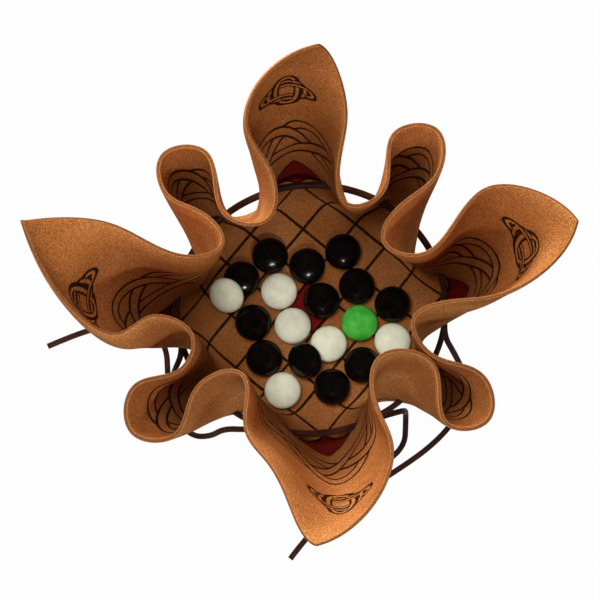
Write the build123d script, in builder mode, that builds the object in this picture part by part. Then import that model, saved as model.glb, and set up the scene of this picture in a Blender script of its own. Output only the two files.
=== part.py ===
from build123d import *
from math import cos, degrees, hypot, pi, radians, sin, sqrt, tan
import os
import numpy as np

# Travelling hnefatafl set: a square of leather is board and bag in one. Two laces run
# through a ring of holes and draw it up into a pouch, with the glass stones inside.
# Frame: origin under the middle of the board on the surface it stands on, +Z up, and the
# four corners of the sheet over +X, +Y, -X and -Y. Lengths in mm, angles in degrees.

# Glass stones
STONE_DIAMETER = 17.4
STONE_RISE = 4.8
STONE_SIT = 3.4
STONE_FLAT = 4.4
ROUNDNESS = 0.55
STONE_SEAT_GAP = 0.3

# Stones: X and Y of the middle of each, as they lie in the pouch
ATTACKERS = [(-17, 26.4), (0.2, 19.7), (18, 24.9), (-31.6, 16.4), (5.5, 2.5), (23, 7.8),
             (39.1, -2.5), (-28, -4.9), (-24.4, -22.3), (6.5, -39.1), (21.8, -30.1)]
DEFENDERS = [(-14.3, 8.8), (-9.4, -8.3), (6.9, -18.6), (37.3, -20.2), (-17, -38.6)]
KING = (22.5, -10)

# Two stones lie half on another one: place, height of the middle, tilt, and azimuth of the low side
TOP_ATTACKER = (-5.2, -25.6, 8.4, 32, 210)
TOP_DEFENDER = (-39.3, 8.7, 10.4, 36, 225)

# Leather sheet, as it lies flat
SHEET_SIDE = 330.0
SHEET_THICK = 2.0
HOLE_RING = 78.0
FOLDS_ROUND = 8

# Leather sheet, as it is gathered: the stones weigh its floor down flat
FLOOR_MARGIN = 1.2
FLOOR_RADIUS = max(hypot(*place) for place in ATTACKERS + DEFENDERS) + STONE_FLAT + FLOOR_MARGIN
NECK_HEIGHT = 27.0
NECK_X = 62.5
NECK_Y = 58.0
NECK_SHIFT_Y = -3.0
NECK_WAVE = 9.5
BELT_RING = SHEET_SIDE / 2
NECK_FOLLOWS = 0.5

# Azimuth, reach from the middle and half width of each outward lobe and of each inward
# fold, at the level of the belt, anticlockwise from the east corner
LOBES = [(1, 88, 18), (45, 83, 12), (92, 78, 18), (134, 82, 12),
         (182, 92, 18), (215, 98, 13), (272, 92, 22), (316, 94, 12)]
FOLDS = [(19, 36, 11), (58, 35, 10), (123, 32, 11), (156, 40, 10.5),
         (201, 54, 10), (231, 50, 13), (305, 45, 14.5), (332, 47, 10)]

# How far the tip of each corner petal bends over, in X and Y, and how late it does so
TIP_BEND = [(2.5, 0), (15, -6), (-1, 28), (-13, 1)]
TIP_CURL = 2.5

# Laces, and the upright slots in the leather that both of them run through
LACE_WIDTH = 3.0
LACE_GAP = 0.4
LACE_LIFT = 0.1
HOLE_CLEARANCE = 0.5
HOLE_REACH = 6.0
EAST_LACE_Z = NECK_HEIGHT - (LACE_WIDTH + LACE_GAP) / 2
WEST_LACE_Z = NECK_HEIGHT + (LACE_WIDTH + LACE_GAP) / 2
LACE_ON_FLOOR = LACE_WIDTH / 2 + LACE_LIFT
SLOT_HEIGHT = 2 * LACE_WIDTH + LACE_GAP + 2 * HOLE_CLEARANCE
SLOT_WIDTH = LACE_WIDTH + 2 * HOLE_CLEARANCE
ARC_SHARE = 0.45

# How finely the gathered sheet is followed
SECTORS = 2 * FOLDS_ROUND
SECTOR_STEPS = 8
BOWL_STEPS = 4
WALL_STEPS = 2
SPLINE_STEPS = 40
NORMAL_STEP = 0.2
END_STEP = 0.01


def pin_points():
    """Three points on each lobe and each fold, in turn, which the belt passes through."""
    points = []
    for lobe, fold in zip(LOBES, FOLDS):
        for (azimuth, reach, half), outward in ((lobe, 1), (fold, -1)):
            out = np.array([cos(radians(azimuth)), sin(radians(azimuth))])
            along = np.array([-out[1], out[0]])
            middle = out * (reach - outward * half)
            points += [middle - along * half, middle + outward * out * half, middle + along * half]
    return np.array(points)


def closed_spline(points, steps):
    """Points of the periodic cubic spline through the given ones."""
    count = len(points)
    run = np.linalg.norm(np.roll(points, -1, 0) - points, axis=1)
    slope = (np.roll(points, -1, 0) - points) / run[:, None]
    matrix = np.zeros((count, count))
    for i in range(count):
        matrix[i, i - 1] += run[i - 1]
        matrix[i, i] += 2 * (run[i - 1] + run[i])
        matrix[i, (i + 1) % count] += run[i]
    bend = np.linalg.solve(matrix, 6 * (slope - np.roll(slope, 1, 0)))
    curve = []
    for i in range(count):
        j = (i + 1) % count
        for t in np.arange(steps) / steps * run[i]:
            rest = run[i] - t
            curve.append((bend[i] * rest ** 3 + bend[j] * t ** 3) / (6 * run[i])
                         + (points[i] / run[i] - bend[i] * run[i] / 6) * rest
                         + (points[j] / run[i] - bend[j] * run[i] / 6) * t)
    return np.array(curve + curve[:1])


BELT = closed_spline(pin_points(), SPLINE_STEPS)
BELT_RUN = np.concatenate([[0], np.cumsum(np.linalg.norm(np.diff(BELT, axis=0), axis=1))])
PIN_RUN = BELT_RUN[SPLINE_STEPS::3 * SPLINE_STEPS]
PIN_RUN = np.append(PIN_RUN, PIN_RUN[0] + BELT_RUN[-1])
PIN_STEP = 180 / FOLDS_ROUND
PIN_TURN = np.array([pin[0] for pair in zip(LOBES, FOLDS) for pin in pair])
PIN_TURN = PIN_TURN - PIN_STEP * np.arange(SECTORS)


def belt_point(azimuth):
    """Plan point of the belt at a flat azimuth."""
    run = np.interp(azimuth % 360 / PIN_STEP, range(SECTORS + 1), PIN_RUN) % BELT_RUN[-1]
    return np.array([np.interp(run, BELT_RUN, BELT[:, 0]), np.interp(run, BELT_RUN, BELT[:, 1])])


def neck_azimuth(azimuth):
    """Azimuth of the neck at a flat azimuth: it follows the turn of the folds part of the way."""
    place = azimuth % 360 / PIN_STEP
    i = int(place) % SECTORS
    part = (1 - cos(pi * (place - int(place)))) / 2
    turn = PIN_TURN[i] * (1 - part) + PIN_TURN[(i + 1) % SECTORS] * part
    return azimuth + NECK_FOLLOWS * turn


def neck_point(azimuth, wave=NECK_WAVE, height=NECK_HEIGHT):
    """Point of the drawn-in neck, or of the lace ring where the wave is nil."""
    turned = radians(neck_azimuth(azimuth))
    swing = wave * cos(radians(FOLDS_ROUND * azimuth))
    return np.array([(NECK_X + swing) * cos(turned), NECK_SHIFT_Y + (NECK_Y + swing) * sin(turned), height])


def edge_ring(azimuth):
    """Flat distance from the middle to the edge of the square sheet."""
    return SHEET_SIDE / 2 * sqrt(2) / (abs(cos(radians(azimuth))) + abs(sin(radians(azimuth))))


def sheet_point(azimuth, ring):
    """Where the middle of the leather is, for a point of the flat sheet."""
    out = np.array([cos(radians(azimuth)), sin(radians(azimuth)), 0])
    base = np.array([0, 0, SHEET_THICK / 2])
    if ring <= FLOOR_RADIUS:
        return base + out * ring
    neck = neck_point(azimuth)
    lean = belt_point(azimuth) - neck[:2]
    length = BELT_RING - HOLE_RING
    rise = sqrt(length ** 2 - lean @ lean)
    up = np.array([lean[0], lean[1], rise]) / length
    if ring <= HOLE_RING:
        span = HOLE_RING - FLOOR_RADIUS
        t = (ring - FLOOR_RADIUS) / span
        start = base + out * FLOOR_RADIUS
        return ((2 * t ** 3 - 3 * t ** 2 + 1) * start + (t ** 3 - 2 * t ** 2 + t) * span * out
                + (3 * t ** 2 - 2 * t ** 3) * neck + (t ** 3 - t ** 2) * span * up)
    point = neck + up * (ring - HOLE_RING)
    over = max(0, ring - BELT_RING) / (edge_ring(0) - BELT_RING)
    point[:2] += np.array(TIP_BEND[round(azimuth / 90) % 4]) * over ** TIP_CURL
    return point


def sheet_normal(azimuth, ring):
    """Direction out of the printed face of the leather."""
    turn = degrees(NORMAL_STEP / ring)
    along = sheet_point(azimuth + turn, ring) - sheet_point(azimuth - turn, ring)
    outward = sheet_point(azimuth, ring + NORMAL_STEP) - sheet_point(azimuth, ring - NORMAL_STEP)
    normal = np.cross(outward, along)
    return normal / np.linalg.norm(normal)


def ring_level(level, azimuth):
    """Flat distance of a level line: the floor's edge, then the bowl, then the wall to the rim."""
    if level <= BOWL_STEPS:
        return FLOOR_RADIUS + (HOLE_RING - FLOOR_RADIUS) * level / BOWL_STEPS
    return HOLE_RING + (edge_ring(azimuth) - HOLE_RING) * (level - BOWL_STEPS) / WALL_STEPS


def face_point(level, azimuth, face):
    """Point of a level line on the printed face (1) or on the back (-1)."""
    ring = ring_level(level, azimuth)
    normal = sheet_normal(azimuth, ring) if level else np.array([0, 0, 1])
    return sheet_point(azimuth, ring) + face * SHEET_THICK / 2 * normal


def level_edge(level, sector, face):
    """The part of a level line from a lobe to the next fold, or from a fold to the next lobe."""
    start = PIN_STEP * sector
    steps = [step / SECTOR_STEPS for step in range(SECTOR_STEPS + 1)]
    points = [face_point(level, start + PIN_STEP * step, face) for step in steps]
    first = (face_point(level, start + PIN_STEP * END_STEP, face) - points[0]) / END_STEP
    last = (points[-1] - face_point(level, start + PIN_STEP * (1 - END_STEP), face)) / END_STEP
    return Edge.make_spline([tuple(point) for point in points], tangents=[tuple(first), tuple(last)],
                            parameters=steps, scale=False)


def hole_azimuth(index):
    """Flat azimuth of a lace hole, half way between a lobe and a fold."""
    return PIN_STEP * (index + 0.5)


def ring_point(index, height):
    """Corner of the lace ring between two holes, far enough out for it to pass through them."""
    before = neck_point(hole_azimuth(index - 1), 0)
    after = neck_point(hole_azimuth(index), 0)
    half_turn = (neck_azimuth(hole_azimuth(index)) - neck_azimuth(hole_azimuth(index - 1))) / 2
    middle = (before + after) / 2
    out = np.array([middle[0], middle[1] - NECK_SHIFT_Y])
    out = out * (1 / cos(radians(half_turn)) ** 2)
    return (out[0], out[1] + NECK_SHIFT_Y, height)


# Routes of the laces: a tail on the table, round the ring, and the other tail. The east lace
# skips the south-east lobe and the west lace the south-west one.
EAST_TAIL_IN = [(19, -80, LACE_ON_FLOOR), (37.5, -75, LACE_ON_FLOOR), (40.5, -55, LACE_ON_FLOOR),
                (38.5, -53.6, EAST_LACE_Z)]
EAST_TAIL_OUT = [(60, -20.5, 25), (65, -29, 15), (69.5, -38, 6), (69, -50, LACE_ON_FLOOR),
                 (62, -62, LACE_ON_FLOOR), (50, -72, LACE_ON_FLOOR), (36, -80, LACE_ON_FLOOR),
                 (20, -88, LACE_ON_FLOOR), (3, -97, LACE_ON_FLOOR), (-12, -108, LACE_ON_FLOOR),
                 (-21, -118, LACE_ON_FLOOR)]
WEST_TAIL_IN = [(-127, -6.5, LACE_ON_FLOOR), (-113, -2, LACE_ON_FLOOR), (-100, 0.5, LACE_ON_FLOOR),
                (-87, 1, LACE_ON_FLOOR), (-76, -3, LACE_ON_FLOOR), (-70.5, -13, LACE_ON_FLOOR),
                (-71, -25, LACE_ON_FLOOR), (-71.5, -36, LACE_ON_FLOOR), (-69.5, -47, LACE_ON_FLOOR),
                (-62, -56, LACE_ON_FLOOR), (-53, -57, 7), (-46, -54.5, 19), (-35.5, -56.2, 28.2),
                (-24, -57.1, WEST_LACE_Z)]
WEST_TAIL_OUT = [(-60.7, -17.1, WEST_LACE_Z), (-67, -27.5, 27), (-70, -34.4, 14), (-64, -41, 5),
                 (-57, -47, LACE_ON_FLOOR)]
EAST_RING = [ring_point(index, EAST_LACE_Z) for index in range(12, -1, -1)]
WEST_RING = [ring_point(index, WEST_LACE_Z) for index in range(12, 25)]
LACE_ROUTES = {
    "drawstring_east": EAST_TAIL_IN + EAST_RING + EAST_TAIL_OUT,
    "drawstring_west": WEST_TAIL_IN + WEST_RING + WEST_TAIL_OUT,
}

os.makedirs("parts", exist_ok=True)

# Leather sheet: ruled strips between level lines on both faces, closed by the floor and rim
LEVELS = BOWL_STEPS + WALL_STEPS
edges = {}
for face in (1, -1):
    for sector in range(SECTORS):
        for level in range(LEVELS + 1):
            edges[face, sector, level] = level_edge(level, sector, face)

with BuildPart() as leather_sheet:
    skin = []
    for sector in range(SECTORS):
        for face in (1, -1):
            for level in range(LEVELS):
                skin.append(Face.make_surface_from_curves(edges[face, sector, level],
                                                          edges[face, sector, level + 1]))
        skin.append(Face.make_surface_from_curves(edges[1, sector, LEVELS], edges[-1, sector, LEVELS]))
    for face in (1, -1):
        skin.append(Face(Wire([edges[face, sector, 0] for sector in range(SECTORS)])))
    add(Solid(Shell(skin)))
    print("leather volume", round(leather_sheet.part.volume), "flat", round(SHEET_SIDE ** 2 * SHEET_THICK))

    # Lace holes: slots, each along the run of the laces through it
    for index in range(SECTORS):
        along = Vector(*ring_point(index + 1, 0)) - Vector(*ring_point(index, 0))
        place = Vector(*neck_point(hole_azimuth(index), 0))
        with BuildSketch(Plane(origin=place, x_dir=(0, 0, 1), z_dir=along)):
            SlotOverall(SLOT_HEIGHT, SLOT_WIDTH)
        extrude(amount=HOLE_REACH, both=True, mode=Mode.SUBTRACT)
leather_sheet.part.label = "leather_sheet"
export_step(leather_sheet.part, "parts/leather_sheet.step")


def corner_radii(points):
    """Radius at each inner point: as large as its two runs allow."""
    radii = []
    for before, here, after in zip(points, points[1:], points[2:]):
        first = Vector(*here) - Vector(*before)
        second = Vector(*after) - Vector(*here)
        half_turn = radians(first.get_angle(second)) / 2
        radii.append(ARC_SHARE * min(first.length, second.length) / tan(half_turn))
    return radii


# Laces: each is one tube along its whole route
for name, points in LACE_ROUTES.items():
    with BuildPart() as lace:
        with BuildLine() as route:
            FilletPolyline(*points, radius=corner_radii(points))
        run = route.wire()
        with BuildSketch(Plane(origin=run @ 0, z_dir=run % 0)) as section:
            Circle(LACE_WIDTH / 2)
        sweep()
    expected = section.sketch.area * run.length
    print(name, "radii", [round(radius) for radius in corner_radii(points)])
    print(name, "length", round(run.length), "volume", round(lace.part.volume), "of", round(expected))
    lace.part.label = name
    export_step(lace.part, f"parts/{name}.step")


def write_stone(name, seat):
    """A pressed glass stone: domed, rounded below, with a small flat under it."""
    girth = STONE_DIAMETER / 2
    with BuildPart() as stone:
        with BuildSketch(Plane.XZ):
            with BuildLine():
                Bezier((0, STONE_RISE), (ROUNDNESS * girth, STONE_RISE),
                       (girth, ROUNDNESS * STONE_RISE), (girth, 0))
                Bezier((girth, 0), (girth, -ROUNDNESS * STONE_SIT),
                       ((STONE_FLAT + girth) / 2, -STONE_SIT), (STONE_FLAT, -STONE_SIT))
                Line((STONE_FLAT, -STONE_SIT), (0, -STONE_SIT))
                Line((0, -STONE_SIT), (0, STONE_RISE))
            make_face()
        revolve(axis=Axis.Z)
    placed = seat.location * stone.part
    placed.label = name
    export_step(placed, f"parts/{name}.step")


def flat_seat(place):
    """Frame of a stone that lies flat on the leather, at the middle of its girth."""
    return Plane(origin=(*place, SHEET_THICK + STONE_SEAT_GAP + STONE_SIT))


def tilted_seat(x, y, z, tilt, azimuth):
    """Frame of a stone that leans on another one."""
    lean = sin(radians(tilt))
    up = (lean * cos(radians(azimuth)), lean * sin(radians(azimuth)), cos(radians(tilt)))
    return Plane(origin=(x, y, z), z_dir=up)


for number, place in enumerate(ATTACKERS, 1):
    write_stone(f"attacker_stone_{number:02}", flat_seat(place))
write_stone(f"attacker_stone_{len(ATTACKERS) + 1:02}", tilted_seat(*TOP_ATTACKER))
for number, place in enumerate(DEFENDERS, 1):
    write_stone(f"defender_stone_{number:02}", flat_seat(place))
write_stone(f"defender_stone_{len(DEFENDERS) + 1:02}", tilted_seat(*TOP_DEFENDER))
write_stone("king_stone", flat_seat(KING))
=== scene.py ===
# %% [markdown]
# # A hnefatafl set whose board is its own pouch
# The real thing is one square of split leather. Laid flat it is the board. Two laces through
# a ring of holes draw it up into a pouch, which holds the glass stones of the game. Here the
# leather is a surface bent from its flat shape, so the print on it bends with it, and every
# pattern can be drawn where the maker drew it: on the flat sheet.

# %% Load the frame
from math import cos, pi, radians, sin, sqrt
import bpy
import numpy as np
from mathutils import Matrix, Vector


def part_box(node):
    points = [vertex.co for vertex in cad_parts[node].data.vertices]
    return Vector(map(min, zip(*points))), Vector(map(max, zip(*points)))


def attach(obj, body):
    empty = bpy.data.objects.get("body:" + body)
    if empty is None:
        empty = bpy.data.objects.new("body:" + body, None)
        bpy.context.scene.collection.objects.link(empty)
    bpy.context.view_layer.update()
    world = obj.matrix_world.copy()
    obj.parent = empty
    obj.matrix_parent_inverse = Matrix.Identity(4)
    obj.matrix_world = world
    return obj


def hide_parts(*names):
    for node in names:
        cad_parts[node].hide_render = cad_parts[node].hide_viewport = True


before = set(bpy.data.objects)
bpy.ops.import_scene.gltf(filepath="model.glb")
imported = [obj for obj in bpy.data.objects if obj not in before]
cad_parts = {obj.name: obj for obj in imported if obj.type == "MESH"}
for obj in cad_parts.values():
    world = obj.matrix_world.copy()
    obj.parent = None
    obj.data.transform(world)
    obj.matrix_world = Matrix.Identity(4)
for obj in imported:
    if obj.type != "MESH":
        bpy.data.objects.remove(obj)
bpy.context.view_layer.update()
MM = 0.001

# %% [markdown]
# ## The camera
# The photograph looks almost straight down. A long lens far away keeps the rim of the pouch,
# which stands 180 mm above the table, close to the size of the board below it. The lens
# follows from the scale of the photograph: so many pixels to a millimetre on the table.

# %% Camera
PHOTO_SIDE = 600
BOARD_PIXEL = (310.6, 308.0)
PIXELS_PER_MM = 2.08
CAMERA_DISTANCE = 860.0
CAMERA_ELEVATION = 84.0
CAMERA_AZIMUTH = -5.5
SENSOR = 36.0


def make_camera():
    """A camera that looks at the origin from an azimuth, an elevation and a distance."""
    data = bpy.data.cameras.new("photo_camera")
    data.sensor_width = SENSOR
    data.lens = SENSOR * PIXELS_PER_MM * CAMERA_DISTANCE / PHOTO_SIDE
    data.shift_x = (PHOTO_SIDE / 2 - BOARD_PIXEL[0]) / PHOTO_SIDE
    data.shift_y = (BOARD_PIXEL[1] - PHOTO_SIDE / 2) / PHOTO_SIDE
    data.clip_start = 0.01
    camera = bpy.data.objects.new("photo_camera", data)
    bpy.context.scene.collection.objects.link(camera)
    azimuth, elevation = radians(CAMERA_AZIMUTH), radians(CAMERA_ELEVATION)
    away = CAMERA_DISTANCE * MM
    camera.location = (away * sin(azimuth) * cos(elevation), -away * cos(azimuth) * cos(elevation),
                       away * sin(elevation))
    camera.rotation_euler = (pi / 2 - elevation, 0, azimuth)
    bpy.context.scene.camera = camera
    print("lens", round(data.lens, 1), "mm")


make_camera()

# %% [markdown]
# ## Shader maths as plain expressions
# Patterns such as the board's grid are formulas. Building them node by node is slow to read,
# so one small class wraps a socket, and its operators add the Math nodes. Everything else
# comes from `node`, which takes a node's kind, its settings and the values of its sockets.

# %% Shader helpers


class Wire:
    """A number that runs through a material: operators on it add Math nodes."""

    def __init__(self, material, socket):
        self.material = material
        self.socket = socket

    def maths(self, operation, *others):
        made = self.material.node("ShaderNodeMath", {"operation": operation}, [self, *others])
        return Wire(self.material, made.outputs[0])

    def __add__(self, other):
        return self.maths("ADD", other)

    def __sub__(self, other):
        return self.maths("SUBTRACT", other)

    def __mul__(self, other):
        return self.maths("MULTIPLY", other)

    def __truediv__(self, other):
        return self.maths("DIVIDE", other)

    def __rsub__(self, other):
        return self * -1 + other

    __radd__ = __add__
    __rmul__ = __mul__

    def size(self):
        return self.maths("ABSOLUTE")

    def above(self, other):
        return self.maths("GREATER_THAN", other)

    def below(self, other):
        return self.maths("LESS_THAN", other)

    def most(self, other):
        return self.maths("MAXIMUM", other)

    def least(self, other):
        return self.maths("MINIMUM", other)

    def ramp(self, start, end, low=0.0, high=1.0):
        """Runs smoothly from low to high while the wire goes from start to end."""
        settings = {"interpolation_type": "SMOOTHSTEP"}
        made = self.material.node("ShaderNodeMapRange", settings, [self, start, end, low, high])
        return Wire(self.material, made.outputs[0])


class Finish:
    """A new material around one Principled shader."""

    def __init__(self, name, roughness, **constants):
        self.data = bpy.data.materials.new(name)
        self.data.use_nodes = True
        self.tree = self.data.node_tree
        self.shader = self.tree.nodes["Principled BSDF"]
        self.shader.inputs["Roughness"].default_value = roughness
        for key, value in constants.items():
            self.shader.inputs[key.replace("_", " ")].default_value = value

    def node(self, kind, settings, values):
        """Adds a node: its settings first, then its sockets by place or by name."""
        made = self.tree.nodes.new(kind)
        for key, value in settings.items():
            setattr(made, key, value)
        for key, value in values.items() if isinstance(values, dict) else enumerate(values):
            if isinstance(value, Wire):
                value = value.socket
            if isinstance(value, bpy.types.NodeSocket):
                self.tree.links.new(value, made.inputs[key])
            else:
                made.inputs[key].default_value = value
        return made

    def place(self):
        """Object coordinates in millimetres."""
        made = self.node("ShaderNodeTexCoord", {}, {})
        scaled = self.node("ShaderNodeVectorMath", {"operation": "SCALE"},
                           {0: made.outputs["Object"], "Scale": 1 / MM})
        return scaled.outputs[0]

    def noise(self, place, grain, detail=2.0, rough=0.5):
        """Noise whose blotches are about grain millimetres across."""
        made = self.node("ShaderNodeTexNoise", {},
                         {"Vector": place, "Scale": 1 / grain, "Detail": detail, "Roughness": rough})
        return Wire(self, made.outputs["Fac"])

    def colour(self, mask, first, second):
        """Mixes two colours: the first where the mask is 0, the second where it is 1."""
        made = self.node("ShaderNodeMix", {"data_type": "RGBA"}, {"Factor": mask, 6: first, 7: second})
        return made.outputs[2]

    def feed(self, name, value):
        socket = value.socket if isinstance(value, Wire) else value
        self.tree.links.new(socket, self.shader.inputs[name])

    def bump(self, height, depth):
        """Lets a height between 0 and 1 stand out by depth millimetres."""
        made = self.node("ShaderNodeBump", {}, {"Height": height, "Distance": depth * MM, "Strength": 1.0})
        self.tree.links.new(made.outputs[0], self.shader.inputs["Normal"])


def tone(red, green, blue):
    """A colour as it looks on screen, 0 to 255, as the linear colour that shaders want."""
    share = np.array([red, green, blue]) / 255
    linear = np.where(share <= 0.04045, share / 12.92, ((share + 0.055) / 1.055) ** 2.4)
    return (*[float(value) for value in linear], 1.0)


# %% [markdown]
# ## Meshes from arrays
# Every shape here ends as a list of points in millimetres and a list of faces, and one
# function makes the object. Where a pattern has to follow the surface, each point also gets
# its place on a UV map.

# %% Mesh helper


def build_piece(name, points, faces, smooth=0, uv=None, uv_map="flat"):
    """A mesh object. The first faces are smooth, as many as smooth says, and the rest are flat."""
    mesh = bpy.data.meshes.new(name)
    mesh.from_pydata((points * MM).tolist(), [], faces)
    mesh.polygons.foreach_set("use_smooth", np.arange(len(faces)) < smooth)
    if uv is not None:
        layer = mesh.uv_layers.new(name=uv_map)
        corners = np.empty(len(mesh.loops), dtype=np.int32)
        mesh.loops.foreach_get("vertex_index", corners)
        layer.data.foreach_set("uv", uv[corners].astype(np.float32).ravel())
    mesh.update()
    piece = bpy.data.objects.new(name, mesh)
    bpy.context.scene.collection.objects.link(piece)
    return piece


# %% [markdown]
# ## The leather, from flat to gathered
# A drawn-up sheet of leather doesn't stretch, so it can be worked out from the flat one. Its
# middle stays flat on the table. From there a bowl climbs to the ring of holes, where the
# laces hold it in a small wave. Above the ring each line of the sheet runs straight out to
# the belt, a closed curve that bulges out at eight lobes and in at eight folds. The height
# of the belt is what is left of the leather's length once its reach is taken off.

# %% Measures of the sheet
SHEET_SIDE = 330.0
SHEET_THICK = 2.0
HOLE_RING = 78.0
FOLDS_ROUND = 8
FLOOR_RADIUS = 48.0
NECK_HEIGHT = 27.0
NECK_X = 62.5
NECK_Y = 58.0
NECK_SHIFT_Y = -3.0
NECK_WAVE = 9.5
NECK_FOLLOWS = 0.5
BELT_RING = SHEET_SIDE / 2
CORNER_RING = SHEET_SIDE / sqrt(2)
LOBES = [(1, 88, 18), (45, 83, 12), (92, 78, 18), (134, 82, 12),
         (182, 92, 18), (215, 98, 13), (272, 92, 22), (316, 94, 12)]
FOLDS = [(19, 36, 11), (58, 35, 10), (123, 32, 11), (156, 40, 10.5),
         (201, 54, 10), (231, 50, 13), (305, 45, 14.5), (332, 47, 10)]
TIP_BEND = np.array([(2.5, 0), (15, -6), (-1, 28), (-13, 1)])
TIP_CURL = 2.5
SECTORS = 2 * FOLDS_ROUND
SECTOR = 2 * pi / SECTORS
SPLINE_STEPS = 40

# %% The belt: a closed spline through three points on each lobe and fold


def pin_points():
    """Three points on each lobe and fold in turn: its two sides and its end."""
    points = []
    for lobe, fold in zip(LOBES, FOLDS):
        for (azimuth, reach, half), outward in ((lobe, 1), (fold, -1)):
            out = np.array([cos(radians(azimuth)), sin(radians(azimuth))])
            along = np.array([-out[1], out[0]])
            middle = out * (reach - outward * half)
            points += [middle - along * half, middle + outward * out * half, middle + along * half]
    return np.array(points)


def closed_spline(points, steps):
    """The periodic cubic spline: second derivatives from one linear system, then all its points."""
    following = np.roll(points, -1, 0)
    run = np.linalg.norm(following - points, axis=1)
    slope = (following - points) / run[:, None]
    before = np.roll(run, 1)
    unit = np.eye(len(points))
    matrix = (np.diag(2 * (before + run)) + before[:, None] * np.roll(unit, -1, 1)
              + run[:, None] * np.roll(unit, 1, 1))
    bend = np.linalg.solve(matrix, 6 * (slope - np.roll(slope, 1, 0)))
    next_bend = np.roll(bend, -1, 0)
    done = (np.arange(steps) / steps * run[:, None])[..., None]
    length = run[:, None, None]
    rest = length - done
    curve = ((bend[:, None] * rest ** 3 + next_bend[:, None] * done ** 3) / (6 * length)
             + (points[:, None] / length - bend[:, None] * length / 6) * rest
             + (following[:, None] / length - next_bend[:, None] * length / 6) * done)
    curve = curve.reshape(-1, 2)
    return np.vstack([curve, curve[:1]])


BELT = closed_spline(pin_points(), SPLINE_STEPS)
BELT_RUN = np.concatenate([[0], np.cumsum(np.linalg.norm(np.diff(BELT, axis=0), axis=1))])
PIN_RUN = BELT_RUN[SPLINE_STEPS::3 * SPLINE_STEPS]
PIN_RUN = np.append(PIN_RUN, PIN_RUN[0] + BELT_RUN[-1])
PIN_AZIMUTH = np.radians([pin[0] for pair in zip(LOBES, FOLDS) for pin in pair])
PIN_TURN = PIN_AZIMUTH - SECTOR * np.arange(SECTORS)
print("belt", round(BELT_RUN[-1]), "mm, flat", round(2 * pi * BELT_RING), "mm")

# %% The gathered sheet as a function of flat azimuth and ring


def belt_point(azimuth):
    """Plan point of the belt: its length is shared out between the pins."""
    run = np.interp(azimuth % (2 * pi) / SECTOR, range(SECTORS + 1), PIN_RUN) % BELT_RUN[-1]
    return np.stack([np.interp(run, BELT_RUN, BELT[:, 0]), np.interp(run, BELT_RUN, BELT[:, 1])], -1)


def neck_azimuth(azimuth):
    """The neck follows the turn of the folds part of the way, eased from pin to pin."""
    place = azimuth % (2 * pi) / SECTOR
    pin = np.floor(place).astype(int) % SECTORS
    part = (1 - np.cos(pi * (place - np.floor(place)))) / 2
    return azimuth + NECK_FOLLOWS * (PIN_TURN[pin] * (1 - part) + PIN_TURN[(pin + 1) % SECTORS] * part)


def neck_point(azimuth, wave=NECK_WAVE):
    """An oval round the board, with a wave of eight swings."""
    turned = neck_azimuth(azimuth)
    swing = wave * np.cos(FOLDS_ROUND * azimuth)
    return np.stack([(NECK_X + swing) * np.cos(turned), NECK_SHIFT_Y + (NECK_Y + swing) * np.sin(turned),
                     np.full_like(azimuth, NECK_HEIGHT)], -1)


def gathered(azimuth, ring):
    """Floor, then a Hermite bowl up to the neck, then straight lines past the belt to the rim."""
    out = np.stack([np.cos(azimuth), np.sin(azimuth), np.zeros_like(azimuth)], -1)
    base = np.array([0, 0, SHEET_THICK / 2])
    neck = neck_point(azimuth)
    lean = belt_point(azimuth) - neck[..., :2]
    length = BELT_RING - HOLE_RING
    rise = np.sqrt(length ** 2 - (lean ** 2).sum(-1))
    up = np.concatenate([lean, rise[..., None]], -1) / length
    span = HOLE_RING - FLOOR_RADIUS
    t = np.clip((ring - FLOOR_RADIUS) / span, 0, 1)[..., None]
    bowl = ((2 * t ** 3 - 3 * t ** 2 + 1) * (base + out * FLOOR_RADIUS)
            + (t ** 3 - 2 * t ** 2 + t) * span * out
            + (3 * t ** 2 - 2 * t ** 3) * neck + (t ** 3 - t ** 2) * span * up)
    wall = neck + up * (ring - HOLE_RING)[..., None]
    over = np.clip((ring - BELT_RING) / (CORNER_RING - BELT_RING), 0, None)[..., None]
    corner = np.round(azimuth / (pi / 2)).astype(int) % 4
    wall[..., :2] += TIP_BEND[corner] * over ** TIP_CURL
    point = np.where(ring[..., None] <= HOLE_RING, bowl, wall)
    return np.where(ring[..., None] <= FLOOR_RADIUS, base + out * ring[..., None], point)


# %% [markdown]
# ## The mesh of the leather
# A square grid over the flat sheet gives even quads and sharp corners with no pole in the
# middle, and its flat places are the UV map. The lines crowd together at the cut edge, where
# the leather is rounded by wear and thinned by the knife, most of all at the corners. Real
# leather is never quite smooth, so slow swells are added above the laces, where nothing
# holds it.

# %% Leather mesh
LINES = 193
EDGE_LINES = 4
EDGE_STEP = 0.5
SWELL = 0.9
SWELL_FROM = HOLE_RING + 12.0
SWELL_OVER = 60.0
SWELL_WAVES = [(0.061, 0.023, 0.4), (-0.034, 0.071, 1.9), (0.019, -0.057, 3.1), (0.093, 0.066, 5.0),
               (-0.101, 0.038, 2.2)]
SLOPE_STEP = 0.15
RIM_SHARES = (-0.92, -0.68, 0.0, 0.68, 0.92)
RIM_PROUD = 0.35
THIN_WITHIN = 5.0
THIN_EDGE = 0.1
THIN_CORNER = 0.4
PRINTED_SLOT, BACK_SLOT, EDGE_SLOT, BORDER_SLOT = range(4)


def flat_lines():
    """Places of the grid lines: even, with a few close together at each edge."""
    inner = SHEET_SIDE / 2 - EDGE_LINES * EDGE_STEP
    edge = inner + EDGE_STEP * np.arange(1, EDGE_LINES + 1)
    return np.concatenate([-edge[::-1], np.linspace(-inner, inner, LINES), edge])


def swell(a, b):
    """Slow uneven bumps: a sum of plane waves in odd directions."""
    return sum(np.sin(a * u + b * v + shift) for u, v, shift in SWELL_WAVES) / len(SWELL_WAVES)


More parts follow.
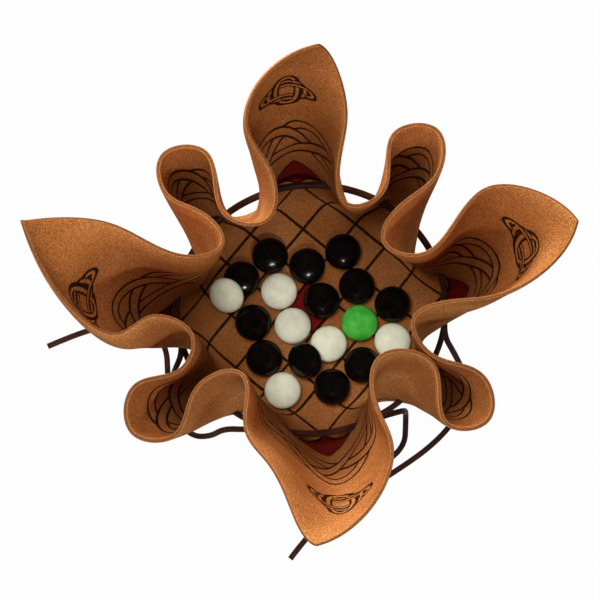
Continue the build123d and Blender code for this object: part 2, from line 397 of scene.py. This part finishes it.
def sheet_middle(a, b):
    """Flat place to gathered place. The sheet's sides run at 45 degrees to X and Y."""
    x, y = (a + b) / sqrt(2), (b - a) / sqrt(2)
    return gathered(np.arctan2(y, x), np.hypot(x, y))


def sheet_normals(a, b):
    """Direction out of the printed face, from the slopes along both flat axes."""
    along_a = sheet_middle(a + SLOPE_STEP, b) - sheet_middle(a - SLOPE_STEP, b)
    along_b = sheet_middle(a, b + SLOPE_STEP) - sheet_middle(a, b - SLOPE_STEP)
    normal = np.cross(along_a, along_b)
    return normal / np.linalg.norm(normal, axis=-1, keepdims=True)


def grid_quads(rows, columns, start=0):
    """Corners of the quads of a grid whose points are numbered row by row."""
    index = start + np.arange(rows * columns).reshape(rows, columns)
    return np.stack([index[:-1, :-1], index[:-1, 1:], index[1:, 1:], index[1:, :-1]], -1).reshape(-1, 4)


def half_thickness(a, b):
    """Half the leather's thickness: less close to the cut edge, and least at the corners."""
    reach = np.maximum(np.abs(a), np.abs(b))
    near = np.clip(1 - (SHEET_SIDE / 2 - reach) / THIN_WITHIN, 0, 1)
    corner = np.clip((np.hypot(a, b) - BELT_RING) / (CORNER_RING - BELT_RING), 0, 1)
    return SHEET_THICK / 2 * (1 - near ** 2 * (THIN_EDGE + THIN_CORNER * np.sqrt(corner)))


def build_leather():
    """Printed face, back and a rounded cut edge, closed into one sheet."""
    lines = flat_lines()
    count = len(lines)
    b, a = np.meshgrid(lines, lines)
    middle = sheet_middle(a, b)
    normal = sheet_normals(a, b)
    ring = np.hypot(a, b)
    free = np.clip((ring - SWELL_FROM) / SWELL_OVER, 0, 1)[..., None]
    middle = middle + normal * swell(a, b)[..., None] * SWELL * free
    half = half_thickness(a, b)
    front = middle + normal * half[..., None]
    back = middle - normal * half[..., None]
    flat = np.stack([a, b], -1) / SHEET_SIDE + 0.5
    last = count - 1
    around = np.concatenate([[(i, 0) for i in range(last)], [(last, j) for j in range(last)],
                             [(i, last) for i in range(last, 0, -1)], [(0, j) for j in range(last, 0, -1)]])
    rim_middle = middle[around[:, 0], around[:, 1]]
    rim_normal = normal[around[:, 0], around[:, 1]]
    inner = np.clip(around, 1, count - 2)
    outward = rim_middle - middle[inner[:, 0], inner[:, 1]]
    outward /= np.linalg.norm(outward, axis=1, keepdims=True)
    shares = np.array(RIM_SHARES)
    proud = RIM_PROUD * np.sqrt(1 - shares ** 2)
    rim_half = half[around[:, 0], around[:, 1]]
    rim = (rim_middle[None] + rim_normal[None] * (shares[:, None] * rim_half)[..., None]
           + outward[None] * (proud[:, None] * rim_half)[..., None])
    points = np.concatenate([front.reshape(-1, 3), back.reshape(-1, 3), rim.reshape(-1, 3)])
    uv = np.concatenate([flat.reshape(-1, 2), flat.reshape(-1, 2),
                         np.tile(flat[around[:, 0], around[:, 1]], (len(shares), 1))])
    front_quads = grid_quads(count, count)[:, ::-1]
    back_quads = grid_quads(count, count, count ** 2)
    edge = around[:, 0] * count + around[:, 1]
    size = len(edge)
    rim_rows = [2 * count ** 2 + size * k + np.arange(size) for k in range(len(shares))]
    rows = [edge + count ** 2, *rim_rows, edge]
    strips = [np.stack([low, np.roll(low, -1), np.roll(high, -1), high], -1)
              for low, high in zip(rows, rows[1:])]
    quads = np.concatenate([front_quads, back_quads, *strips])
    off_middle = np.abs(np.arange(len(strips)) - len(strips) / 2 + 0.5)
    strip_slots = np.where(off_middle > 1, BORDER_SLOT, EDGE_SLOT)
    slots = np.concatenate([np.full(len(front_quads), PRINTED_SLOT), np.full(len(back_quads), BACK_SLOT),
                            np.repeat(strip_slots, size)])
    piece = build_piece("leather", points, quads.tolist(), len(quads), uv)
    piece.data.polygons.foreach_set("material_index", slots.astype(np.int32))
    print("leather", len(quads) * 2, "triangles")
    return piece


leather = build_leather()
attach(leather, "pouch")
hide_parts("leather_sheet")

# %% [markdown]
# ## The lace holes
# Sixteen upright slots are punched through the leather half way between lobes and folds,
# where the laces cross from one side to the other. A Boolean with one mesh of sixteen
# cutters takes them all out at once, along the run of the laces.

# %% Lace ring and holes
LACE_WIDTH = 3.0
LACE_GAP = 0.4
LACE_LIFT = 0.1
HOLE_CLEARANCE = 0.5
HOLE_REACH = 6.0
EAST_LACE_Z = NECK_HEIGHT - (LACE_WIDTH + LACE_GAP) / 2
WEST_LACE_Z = NECK_HEIGHT + (LACE_WIDTH + LACE_GAP) / 2
LACE_ON_FLOOR = LACE_WIDTH / 2 + LACE_LIFT
SLOT_HEIGHT = 2 * LACE_WIDTH + LACE_GAP + 2 * HOLE_CLEARANCE
SLOT_WIDTH = LACE_WIDTH + 2 * HOLE_CLEARANCE
SLOT_POINTS = 16


def hole_azimuth(index):
    """Flat azimuth of a lace hole, half way between a lobe and a fold."""
    return SECTOR * (np.asarray(index, float) + 0.5)


def ring_points(indices, height):
    """Corners of the lace ring between holes, far enough out for it to pass through them."""
    indices = np.asarray(indices)
    before, after = hole_azimuth(indices - 1), hole_azimuth(indices)
    middle = (neck_point(before, 0) + neck_point(after, 0)) / 2
    half_turn = (neck_azimuth(after) - neck_azimuth(before)) / 2
    centre = np.array([0, NECK_SHIFT_Y])
    plan = centre + (middle[:, :2] - centre) / np.cos(half_turn)[:, None] ** 2
    return np.column_stack([plan, np.full(len(plan), height)])


def slot_cutters():
    """A prism with round ends for each hole: its outline is a circle pulled apart upright."""
    index = np.arange(SECTORS)
    place = neck_point(hole_azimuth(index), 0)
    along = ring_points(index + 1, 0) - ring_points(index, 0)
    along /= np.linalg.norm(along, axis=1, keepdims=True)
    up = np.array([0, 0, 1.0])
    side = np.cross(up, along)
    turn = 2 * pi * (np.arange(SLOT_POINTS) + 0.5) / SLOT_POINTS
    wide = SLOT_WIDTH / 2 * np.cos(turn)
    tall = SLOT_WIDTH / 2 * np.sin(turn) + np.sign(np.sin(turn)) * (SLOT_HEIGHT - SLOT_WIDTH) / 2
    outline = place[:, None] + side[:, None] * wide[:, None] + up * tall[:, None]
    points = np.stack([outline - along[:, None] * HOLE_REACH, outline + along[:, None] * HOLE_REACH], 1)
    number = np.arange(SECTORS * 2 * SLOT_POINTS).reshape(SECTORS, 2, SLOT_POINTS)
    low, high = number[:, 0], number[:, 1]
    walls = np.stack([low, np.roll(low, -1, 1), np.roll(high, -1, 1), high], -1).reshape(-1, 4)
    faces = walls.tolist() + low[:, ::-1].tolist() + high.tolist()
    return build_piece("slot_cutters", points.reshape(-1, 3), faces)


def punch_holes(piece):
    """Cuts the slots and keeps the result as the piece's own mesh."""
    cutter = slot_cutters()
    modifier = piece.modifiers.new("lace_holes", "BOOLEAN")
    modifier.operation = "DIFFERENCE"
    modifier.object = cutter
    modifier.solver = "EXACT"
    evaluated = piece.evaluated_get(bpy.context.evaluated_depsgraph_get())
    cut = bpy.data.meshes.new_from_object(evaluated)
    piece.modifiers.clear()
    print("lace holes take away", len(piece.data.polygons), "->", len(cut.polygons), "faces")
    piece.data = cut
    bpy.data.objects.remove(cutter)


punch_holes(leather)

# %% [markdown]
# ## Suede, and what is printed on it
# Split leather has no smooth grain side. Its nap is mottled at three scales: cloudy patches
# where the hide took the dye unevenly, flecks a millimetre or two across, and a fine pile. The
# flecks and the pile drive both the colour and the bump, so what is lighter also stands up a
# little. Clouds and flecks are read from the flat places, so they follow the leather round its
# folds. The pile is read from the place in the room, a little longer along Z than across. The
# cut edge has a brown middle between two paler borders, where the nap of each face shows.

# %% Suede
SUEDE_DARK = tone(122, 71, 32)
SUEDE_MID = tone(175, 107, 54)
SUEDE_LIGHT = tone(222, 152, 92)
BACK_DARK = tone(124, 74, 36)
BACK_MID = tone(184, 116, 62)
BACK_LIGHT = tone(228, 168, 108)
CUT_DARK = tone(96, 56, 30)
CUT_PALE = tone(150, 92, 50)
BORDER_PALE = tone(192, 138, 90)
# Colour of the painted shade deep in the pouch.
PAINTED_SHADE = tone(72, 40, 22)
INK = tone(16, 8, 6)
CRIMSON = tone(104, 10, 18)
CLOUD_GRAIN = 42.0
FLECK_GRAIN = 1.8
PILE_GRAIN = 0.5
PILE_STRETCH = (1, 1, 0.45)
CLOUD_SHARE, FLECK_SHARE, PILE_SHARE = 0.7, 0.25, 1.35
SHADE_DROP = 0.65
BACK_NAP = 0.5
EDGE_NAP = 0.7
PRINTED_NAP = 0.45
MATT = 1.0
DULL = 0.05


def flat_place(finish):
    """The flat place as two wires in millimetres from the middle, and as one vector."""
    uv = finish.node("ShaderNodeUVMap", {"uv_map": "flat"}, {})
    moved = finish.node("ShaderNodeVectorMath", {"operation": "SUBTRACT"},
                        {0: uv.outputs[0], 1: (0.5, 0.5, 0)})
    scaled = finish.node("ShaderNodeVectorMath", {"operation": "SCALE"},
                         {0: moved.outputs[0], "Scale": SHEET_SIDE})
    parts = finish.node("ShaderNodeSeparateXYZ", {}, [scaled.outputs[0]])
    return Wire(finish, parts.outputs[0]), Wire(finish, parts.outputs[1]), scaled.outputs[0]


def suede_colour(finish, place, dark, mid, light):
    """Clouds, flecks and pile: returns the colour and the height of the pile."""
    brushed = finish.node("ShaderNodeVectorMath", {"operation": "MULTIPLY"},
                          {0: finish.place(), 1: PILE_STRETCH})
    clouds = finish.noise(place, CLOUD_GRAIN, 3.0, 0.55)
    flecks = finish.noise(place, FLECK_GRAIN, 3.0, 0.6)
    pile = finish.noise(brushed.outputs[0], PILE_GRAIN, 2.0, 0.6)
    shade = clouds * CLOUD_SHARE + flecks * FLECK_SHARE + pile * PILE_SHARE - SHADE_DROP
    below = finish.colour(shade.ramp(0.15, 0.5), dark, mid)
    colour = finish.colour(shade.ramp(0.5, 0.85), below, light)
    return colour, flecks * 0.35 + pile * 0.65


def finish_back():
    """The unprinted back: paler, with a longer nap."""
    finish = Finish("suede_back", MATT, Specular_IOR_Level=DULL)
    place = flat_place(finish)[2]
    colour, height = suede_colour(finish, place, BACK_DARK, BACK_MID, BACK_LIGHT)
    finish.feed("Base Color", colour)
    finish.bump(height, BACK_NAP)
    return finish.data


def finish_cut_edge(name, dark, pale):
    """Loose fibres on the cut edge: brown in the middle, paler where they stand up at its borders."""
    finish = Finish(name, MATT, Specular_IOR_Level=DULL)
    fibres = finish.noise(finish.place(), PILE_GRAIN, 3.0, 0.7)
    finish.feed("Base Color", finish.colour(fibres.ramp(0.35, 0.7), dark, pale))
    finish.bump(fibres, EDGE_NAP)
    return finish.data


# %% [markdown]
# ## The board, the plait and the corner knots
# The board is a grid of lines with red squares at the corners and in the middle. Round it
# runs a plait of three bands. Each band swings in and out as a sine of the angle, and its
# height is a sine of twice that angle: where two bands meet, the higher one hides the other,
# and that alone weaves them. The knot in each corner is woven the same way from two ovals and
# a circle. The middle of the sheet, deep in the pouch, is darkened with painted shade.

# %% Print
CELL = 18.0
BOARD_CELLS = 7
GRID_LINE = 1.2
INK_SOFT = 0.35
INK_GRAIN = 1.1
INK_PRESS = 0.3
# Painted shade: its full share near the middle, fading to none up the walls of the pouch.
PAINTED_SHADE_TO = 60.0
UNSHADED_FROM = 150.0
PAINTED_SHADE_SHARE = 0.38
PLAIT_RING = 122.0
PLAIT_SWING = 17.0
PLAIT_TURNS = 9
PLAIT_HALF_BAND = 4.0
PLAIT_LINE = 1.8
KNOT_RING = 178.0
KNOT_LONG = 14.0
KNOT_SHORT = 5.6
KNOT_HALF_BAND = 1.5
KNOT_LINE = 1.2


def line_mask(distance, width):
    """1 on a line of that width and 0 beside it, from the distance to its middle."""
    return distance.ramp(width / 2 - INK_SOFT / 2, width / 2 + INK_SOFT, 1.0, 0.0)


def woven(bands, half_band, line):
    """Outlines of bands given as (distance from the middle, height): the higher hides the lower."""
    ink = None
    for distance, height in bands:
        outline = line_mask((distance - half_band).size(), line)
        for other_distance, other_height in bands:
            if other_distance is not distance:
                hidden = other_distance.below(half_band + line / 2) * other_height.above(height)
                outline = outline * (1 - hidden)
        ink = outline if ink is None else ink.most(outline)
    return ink


def board_ink(a, b):
    """Lines every cell over the board: a ping-pong of the place is the distance to the nearest one."""
    edge = CELL * BOARD_CELLS / 2
    reach = a.size().most(b.size())
    nearest = (a + edge).maths("PINGPONG", CELL / 2).least((b + edge).maths("PINGPONG", CELL / 2))
    return line_mask(nearest, GRID_LINE) * reach.below(edge + GRID_LINE / 2)


def red_squares(a, b):
    """The middle square and the four corner squares."""
    edge = CELL * BOARD_CELLS / 2
    near, far = a.size().least(b.size()), a.size().most(b.size())
    return (far.below(CELL / 2)).most(near.above(edge - CELL) * far.below(edge))


def plait_ink(a, b):
    """Three bands round the board, a third of a swing apart."""
    ring = (a * a + b * b).maths("SQRT")
    angle = b.maths("ARCTAN2", a)
    bands = []
    for strand in range(3):
        phase = angle * PLAIT_TURNS + 2 * pi * strand / 3
        slope = phase.maths("COSINE") * (PLAIT_SWING * PLAIT_TURNS / PLAIT_RING)
        steep = (slope * slope + 1).maths("SQRT")
        distance = (ring - PLAIT_RING - phase.maths("SINE") * PLAIT_SWING).size() / steep
        bands.append((distance, (phase * 2).maths("SINE")))
    return woven(bands, PLAIT_HALF_BAND, PLAIT_LINE)


def knot_ink(a, b):
    """Two crossed ovals and a circle on each diagonal of the sheet."""
    along = (a.size() + b.size()) * (1 / sqrt(2)) - KNOT_RING
    across = (a.size() - b.size()) * (1 / sqrt(2))
    bands = []
    angle = across.maths("ARCTAN2", along)
    for u, v, height in ((along, across, 1.0), (across, along, -1.0)):
        q = u * u * (1 / KNOT_LONG ** 2) + v * v * (1 / KNOT_SHORT ** 2)
        steep = (u * u * (1 / KNOT_LONG ** 4) + v * v * (1 / KNOT_SHORT ** 4)).maths("SQRT")
        distance = (q - 1).size() / (steep * 2 + 0.01)
        bands.append((distance, (angle * 2).maths("SINE") * height))
    circle = ((along * along + across * across).maths("SQRT") - (KNOT_LONG + KNOT_SHORT) / 2).size()
    bands.append((circle, (angle * 8).maths("SINE") * 0.9))
    return woven(bands, KNOT_HALF_BAND, KNOT_LINE)


def finish_printed():
    """The printed face: suede with painted shade towards the middle, deep in the pouch, under ink that the
    nap breaks up.
    """
    finish = Finish("suede_printed", MATT, Specular_IOR_Level=DULL)
    a, b, place = flat_place(finish)
    colour, height = suede_colour(finish, place, SUEDE_DARK, SUEDE_MID, SUEDE_LIGHT)
    # Painted shade: the sheet is darkened towards its middle, at the bottom of the pouch.
    painted_pouch_shade = (a * a + b * b).maths("SQRT").ramp(PAINTED_SHADE_TO, UNSHADED_FROM, PAINTED_SHADE_SHARE, 0.0)
    worn = finish.noise(place, INK_GRAIN, 2.0, 0.6).ramp(0.25, 0.5, 0.72, 0.97)
    coloured = finish.colour(red_squares(a, b) * worn, finish.colour(painted_pouch_shade, colour, PAINTED_SHADE), CRIMSON)
    ink = board_ink(a, b).most(plait_ink(a, b)).most(knot_ink(a, b)) * worn
    finish.feed("Base Color", finish.colour(ink, coloured, INK))
    finish.feed("Roughness", ink.ramp(0, 1, 0.92, 0.7))
    finish.bump(height - ink * INK_PRESS, PRINTED_NAP)
    return finish.data


for finished in (finish_printed(), finish_back(),
                 finish_cut_edge("suede_cut_edge", CUT_DARK, CUT_PALE),
                 finish_cut_edge("suede_cut_border", CUT_PALE, BORDER_PALE)):
    leather.data.materials.append(finished)
print("printed face has", len(leather.data.materials[PRINTED_SLOT].node_tree.nodes), "nodes")

# %% [markdown]
# ## The laces
# Each lace is a flat strip of leather. Its route is a short list of points, which a NURBS
# spline of order 3 rounds off, and the strip's cross-section is carried along the points read
# back from that spline. A strip also rolls a little as it runs, so its faces turn by slow
# waves about its own line.

# %% Laces
STRIP_WIDTH = 2.7
LACE_THICK = 1.5
LACE_CORNER = 0.45
LACE_ROLL = 0.5
ROLL_WAVES = (21, 9.5)
LIES_BELOW = 2.4
HANGS_OVER = 8
STREAK_GRAIN = 0.35
STREAK_STRETCH = (0.12, 1.0, 1.0)
PATCH_GRAIN = 9.0
STREAK_DEPTH = 0.2
LACE_DARK = tone(28, 14, 9)
LACE_WORN = tone(68, 37, 25)
EAST_TAIL_IN = [(19, -80, LACE_ON_FLOOR), (37.5, -75, LACE_ON_FLOOR), (40.5, -55, LACE_ON_FLOOR),
                (38.5, -53.6, EAST_LACE_Z)]
EAST_TAIL_OUT = [(60, -20.5, 25), (65, -29, 15), (69.5, -38, 6), (69, -50, LACE_ON_FLOOR),
                 (62, -62, LACE_ON_FLOOR), (50, -72, LACE_ON_FLOOR), (36, -80, LACE_ON_FLOOR),
                 (20, -88, LACE_ON_FLOOR), (3, -97, LACE_ON_FLOOR), (-12, -108, LACE_ON_FLOOR),
                 (-21, -118, LACE_ON_FLOOR)]
WEST_TAIL_IN = [(-127, -6.5, LACE_ON_FLOOR), (-113, -2, LACE_ON_FLOOR), (-100, 0.5, LACE_ON_FLOOR),
                (-87, 1, LACE_ON_FLOOR), (-76, -3, LACE_ON_FLOOR), (-70.5, -13, LACE_ON_FLOOR),
                (-71, -25, LACE_ON_FLOOR), (-71.5, -36, LACE_ON_FLOOR), (-69.5, -47, LACE_ON_FLOOR),
                (-62, -56, LACE_ON_FLOOR), (-53, -57, 7), (-46, -54.5, 19), (-35.5, -56.2, 28.2),
                (-24, -57.1, WEST_LACE_Z)]
WEST_TAIL_OUT = [(-60.7, -17.1, WEST_LACE_Z), (-67, -27.5, 27), (-70, -34.4, 14), (-64, -41, 5),
                 (-57, -47, LACE_ON_FLOOR)]
EAST_ROUTE = np.concatenate([EAST_TAIL_IN, ring_points(range(12, -1, -1), EAST_LACE_Z), EAST_TAIL_OUT])
WEST_ROUTE = np.concatenate([WEST_TAIL_IN, ring_points(range(12, 25), WEST_LACE_Z), WEST_TAIL_OUT])


def spline_points(name, route):
    """Points along the NURBS spline that has the route's points as its control points."""
    curve = bpy.data.curves.new(name, "CURVE")
    curve.dimensions = "3D"
    spline = curve.splines.new("NURBS")
    spline.points.add(len(route) - 1)
    spline.points.foreach_set("co", np.column_stack([route * MM, np.ones(len(route))]).ravel())
    spline.order_u = 3
    spline.use_endpoint_u = True
    spline.resolution_u = 10
    holder = bpy.data.objects.new(name, curve)
    bpy.context.scene.collection.objects.link(holder)
    line = bpy.data.meshes.new_from_object(holder.evaluated_get(bpy.context.evaluated_depsgraph_get()))
    points = np.empty(len(line.vertices) * 3)
    line.vertices.foreach_get("co", points)
    bpy.data.objects.remove(holder)
    return points.reshape(-1, 3) / MM


def strip_outline():
    """Half width and half thickness of a rectangle with rounded corners, as signed points."""
    wide, thick = STRIP_WIDTH / 2 - LACE_CORNER, LACE_THICK / 2 - LACE_CORNER
    turn = np.radians([0, 30, 60, 90])
    corner = np.column_stack([wide + LACE_CORNER * np.cos(turn), thick + LACE_CORNER * np.sin(turn)])
    second = corner[::-1] * (-1, 1)
    return np.concatenate([corner, second, -corner, corner[::-1] * (1, -1)])


def build_lace(name, route, seed):
    """Carries the strip's outline along the spline, rolled by slow waves."""
    path = spline_points(name, route)
    along = np.gradient(path, axis=0)
    step = np.linalg.norm(along, axis=1)
    along /= step[:, None]
    run = np.cumsum(step)
    lift = np.array([0, 0, 1.0]) - along * along[:, 2:]
    lift /= np.linalg.norm(lift, axis=1, keepdims=True)
    side = np.cross(lift, along)
    free = np.clip((path[:, 2] - LIES_BELOW) / HANGS_OVER, 0, 1)
    slow, quick = ROLL_WAVES
    roll = LACE_ROLL * free * (np.sin(run / slow + seed) + 0.6 * np.sin(run / quick + 2 * seed))
    turned_side = side * np.cos(roll)[:, None] + lift * np.sin(roll)[:, None]
    turned_lift = lift * np.cos(roll)[:, None] - side * np.sin(roll)[:, None]
    outline = strip_outline()
    rings = path[:, None] + turned_side[:, None] * outline[:, :1] + turned_lift[:, None] * outline[:, 1:]
    ring = len(outline)
    number = np.arange(len(path) * ring).reshape(len(path), ring)
    following = np.roll(number, -1, 1)
    quads = np.stack([number[:-1], following[:-1], following[1:], number[1:]], -1).reshape(-1, 4)
    faces = quads.tolist() + [number[0][::-1].tolist(), number[-1].tolist()]
    uv = np.column_stack([np.repeat(run, ring), np.tile(outline[:, 0], len(path))])
    print(name, "is", round(run[-1] - step[0]), "mm long,", len(faces), "faces")
    return build_piece(name, rings.reshape(-1, 3), faces, len(quads), uv, "strip"), path


def finish_lace():
    """Dark brown leather strip: fine streaks along it, a soft worn shine on its faces."""
    finish = Finish("lace_leather", 0.6, Specular_IOR_Level=0.15)
    uv = finish.node("ShaderNodeUVMap", {"uv_map": "strip"}, {})
    stretched = finish.node("ShaderNodeVectorMath", {"operation": "MULTIPLY"},
                            {0: uv.outputs[0], 1: STREAK_STRETCH})
    streaks = finish.noise(stretched.outputs[0], STREAK_GRAIN, 3.0, 0.6)
    patches = finish.noise(finish.place(), PATCH_GRAIN)
    shade = (streaks * 0.6 + patches * 0.5 - 0.05).ramp(0.3, 0.75)
    finish.feed("Base Color", finish.colour(shade, LACE_DARK, LACE_WORN))
    finish.feed("Roughness", shade.ramp(0, 1, 0.5, 0.75))
    finish.bump(streaks, STREAK_DEPTH)
    return finish.data


lace_finish = finish_lace()
for side_name, route, seed in (("east", EAST_ROUTE, 0.7), ("west", WEST_ROUTE, 2.9)):
    lace, lace_path = build_lace("lace_" + side_name, route, seed)
    lace.data.materials.append(lace_finish)
    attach(lace, "pouch")
    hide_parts("drawstring_" + side_name)

# %% [markdown]
# ## The glass stones
# Stones like these are dropped as hot gobs of glass that sag into a domed button. So each is
# a turned profile: a low dome, a round girth and a small flat below. No two are quite alike,
# and the swing of their girth and dome comes from a few slow waves with a seed for each.

# %% Stones
STONE_DIAMETER = 17.4
STONE_RISE = 4.8
STONE_SIT = 3.4
STONE_FLAT = 4.4
ROUNDNESS = 0.55
STONE_SIDES = 64
DOME_STEPS = 20
UNDER_STEPS = 10
UNEVEN = 0.12
SWINGS = (2, 3, 4)


def bezier(points, steps):
    """Points of a cubic Bezier curve."""
    t = np.linspace(0, 1, steps + 1)[:, None]
    p = np.array(points)
    return (1 - t) ** 3 * p[0] + 3 * t * (1 - t) ** 2 * p[1] + 3 * t ** 2 * (1 - t) * p[2] + t ** 3 * p[3]


def stone_profile():
    """Radius and height from the top of the dome to the edge of the flat."""
    girth = STONE_DIAMETER / 2
    dome = bezier([(0, STONE_RISE), (ROUNDNESS * girth, STONE_RISE),
                   (girth, ROUNDNESS * STONE_RISE), (girth, 0)], DOME_STEPS)
    under = bezier([(girth, 0), (girth, -ROUNDNESS * STONE_SIT), ((STONE_FLAT + girth) / 2, -STONE_SIT),
                    (STONE_FLAT, -STONE_SIT)], UNDER_STEPS)
    return np.concatenate([dome[1:], under[1:]])


def build_stone(node, seat, up):
    """Turns the profile about its axis, swings it a little, and lays it on its seat."""
    draw = np.random.default_rng(sum(map(ord, node)))
    profile = stone_profile()
    turn = 2 * pi * np.arange(STONE_SIDES) / STONE_SIDES
    shift = draw.uniform(0, 2 * pi, 4)
    wobble = sum(np.sin(swings * turn + start) / swings for swings, start in zip(SWINGS, shift))
    radius = profile[:, :1] * (1 - UNEVEN / 100 * (1 + wobble))
    lean = UNEVEN * np.sin(turn + shift[3]) * (profile[:, :1] / STONE_DIAMETER)
    height = profile[:, 1:] + lean * np.clip(profile[:, 1:] / STONE_RISE, 0, 1)
    rings = np.stack([radius * np.cos(turn), radius * np.sin(turn), height + 0 * turn], -1).reshape(-1, 3)
    points = np.concatenate([rings, [(0, 0, STONE_RISE), (0, 0, -STONE_SIT)]])
    side = np.cross((0, 1.0, 0), up)
    side /= np.linalg.norm(side)
    points = seat + points @ np.array([side, np.cross(up, side), up])
    count = len(profile)
    number = np.arange(count * STONE_SIDES).reshape(count, STONE_SIDES)
    following = np.roll(number, -1, 1)
    walls = np.stack([number[:-1], number[1:], following[1:], following[:-1]], -1).reshape(-1, 4)
    top, bottom = count * STONE_SIDES, count * STONE_SIDES + 1
    cap = np.column_stack([np.full(STONE_SIDES, top), number[0], following[0]])
    base = np.column_stack([np.full(STONE_SIDES, bottom), following[-1], number[-1]])
    faces = walls.tolist() + cap.tolist() + base.tolist()
    return build_piece(node.replace("stone", "glass"), points, faces, len(faces))


# %% [markdown]
# ## Where the stones lie
# Most lie flat on the board. The frame tells where: the middle of each solid's box. Two lean
# on another stone, so each has the middle of its girth, its tilt and the way it leans here.

# %% Lay out the stones
TILTS = {"attacker_stone_12": ((-5.2, -25.6, 8.4), 32, 210),
         "defender_stone_06": ((-39.3, 8.7, 10.4), 36, 225)}
GLASS_CLOUD_GRAIN = 7.0
GLASS_FLECK_GRAIN = 1.2
GLASS_UNEVEN = 0.02


def seat_of(node):
    """Middle of the girth and the direction of the dome."""
    if node in TILTS:
        seat, tilt, azimuth = TILTS[node]
        tilt, azimuth = radians(tilt), radians(azimuth)
        return np.array(seat), np.array([sin(tilt) * cos(azimuth), sin(tilt) * sin(azimuth), cos(tilt)])
    low, high = (np.array(corner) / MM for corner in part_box(node))
    middle = (low + high) / 2
    return np.array([middle[0], middle[1], low[2] + STONE_SIT]), np.array([0, 0, 1.0])


def finish_glass(name, dark, light, roughness, coat, fleck_share):
    """Opaque pressed glass: faint clouds and flecks in the colour, and a polished skin."""
    finish = Finish(name, roughness, Coat_Weight=coat, Coat_Roughness=0.12, Specular_IOR_Level=0.3)
    place = finish.place()
    clouds = finish.noise(place, GLASS_CLOUD_GRAIN, 3.0, 0.6)
    flecks = finish.noise(place, GLASS_FLECK_GRAIN, 3.0, 0.6)
    shade = (clouds * 0.8 + flecks * fleck_share).ramp(0.3, 0.75)
    finish.feed("Base Color", finish.colour(shade, dark, light))
    finish.feed("Roughness", flecks.ramp(0.3, 0.7, roughness * 0.8, roughness * 1.3))
    finish.bump(flecks, GLASS_UNEVEN)
    return finish.data


# The name, two colours, the roughness, the coat and the share of the flecks in the colour.
GLASS = {
    "attacker": ("black_glass", tone(4, 5, 5), tone(10, 11, 12), 0.2, 0.15, 0.2),
    "defender": ("white_glass", tone(216, 218, 190), tone(240, 242, 216), 0.35, 0.1, 0.3),
    "king": ("green_glass", tone(46, 150, 42), tone(84, 194, 74), 0.4, 0.1, 0.35),
}
finishes = {side: finish_glass(*look) for side, look in GLASS.items()}

stones = [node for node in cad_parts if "stone" in node]
for node in stones:
    side = node.split("_")[0]
    stone = build_stone(node, *seat_of(node))
    stone.data.materials.append(finishes[side])
    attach(stone, "king" if node == "king_stone" else node.replace("_stone", ""))
    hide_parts(node)
print("stones", len(stones))

# %% [markdown]
# ## Floor and light
# The set stands on a grey floor that the camera sees as white, so that it throws no more light
# on the outside of the pouch than a table would. Of the lamps, the large one nearly overhead
# is the key, the one to the north fills the outside of the folds, and a small one to the south
# gives the short highlights low on the stones. Only that one, and the floor and the set
# itself, show in the glass: the black stones stay black because the sky and the two soft lamps
# are left out of what they mirror.

# %% Floor
FLOOR_HALF = 3000.0
FLOOR_DROP = 0.2
FLOOR_GREY = tone(96, 96, 96)
FLOOR_GLOW = 0.985


def make_floor():
    """A wide sheet whose colour is raised towards white for what the camera sees."""
    signs = np.array([(-1, -1), (1, -1), (1, 1), (-1, 1)])
    floor = build_piece("floor", np.column_stack([signs * FLOOR_HALF, [-FLOOR_DROP] * 4]), [(0, 1, 2, 3)])
    finish = Finish("floor_white", 0.9, Base_Color=FLOOR_GREY, Specular_IOR_Level=0.0)
    glow = finish.node("ShaderNodeEmission", {}, {"Color": (1, 1, 1, 1), "Strength": 1.0})
    path = finish.node("ShaderNodeLightPath", {}, {})
    camera, glossy, through = (Wire(finish, path.outputs[f"Is {kind} Ray"])
                               for kind in ("Camera", "Glossy", "Transmission"))
    seen = camera.most(glossy).most(through)
    mix = finish.node("ShaderNodeMixShader", {},
                      [seen * FLOOR_GLOW, finish.shader.outputs[0], glow.outputs[0]])
    finish.tree.links.new(mix.outputs[0], finish.tree.nodes["Material Output"].inputs["Surface"])
    floor.data.materials.append(finish.data)


make_floor()

# %% Light
SKY_LIGHT = 0.4
LAMPS = [("overhead_softbox", (-0.2, 0.2, 1.4), (0.7, 0.7), 18, False),
         ("north_fill", (-0.4, 1.1, 0.6), (0.8, 0.5), 17, False),
         ("south_window", (0.1, -0.75, 1.15), (0.3, 0.1), 6, True)]


def make_lamp(name, place, size, power, glossy):
    """An oblong lamp in metres and watts that faces the origin. Glossy tells if it shows in glass."""
    data = bpy.data.lights.new(name, "AREA")
    data.shape = "RECTANGLE"
    data.size, data.size_y = size
    data.energy = power
    lamp = bpy.data.objects.new(name, data)
    bpy.context.scene.collection.objects.link(lamp)
    x, y, z = place
    lamp.location = place
    lamp.rotation_euler = (np.arctan2(np.hypot(x, y), z), 0, np.arctan2(x, -y))
    lamp.visible_glossy = glossy


def make_world(strength):
    """A white sky: the camera sees it at full strength, and the set is lit by a weaker one."""
    world = bpy.data.worlds.new("studio")
    world.use_nodes = True
    nodes, links = world.node_tree.nodes, world.node_tree.links
    path = nodes.new("ShaderNodeLightPath")
    level = nodes.new("ShaderNodeMapRange")
    level.inputs["To Min"].default_value = strength
    links.new(path.outputs["Is Camera Ray"], level.inputs["Value"])
    links.new(level.outputs["Result"], nodes["Background"].inputs["Strength"])
    nodes["Background"].inputs["Color"].default_value = (1, 1, 1, 1)
    world.cycles_visibility.glossy = False
    bpy.context.scene.world = world


make_world(SKY_LIGHT)
for lamp in LAMPS:
    make_lamp(*lamp)
bpy.context.scene.view_settings.view_transform = "Standard"
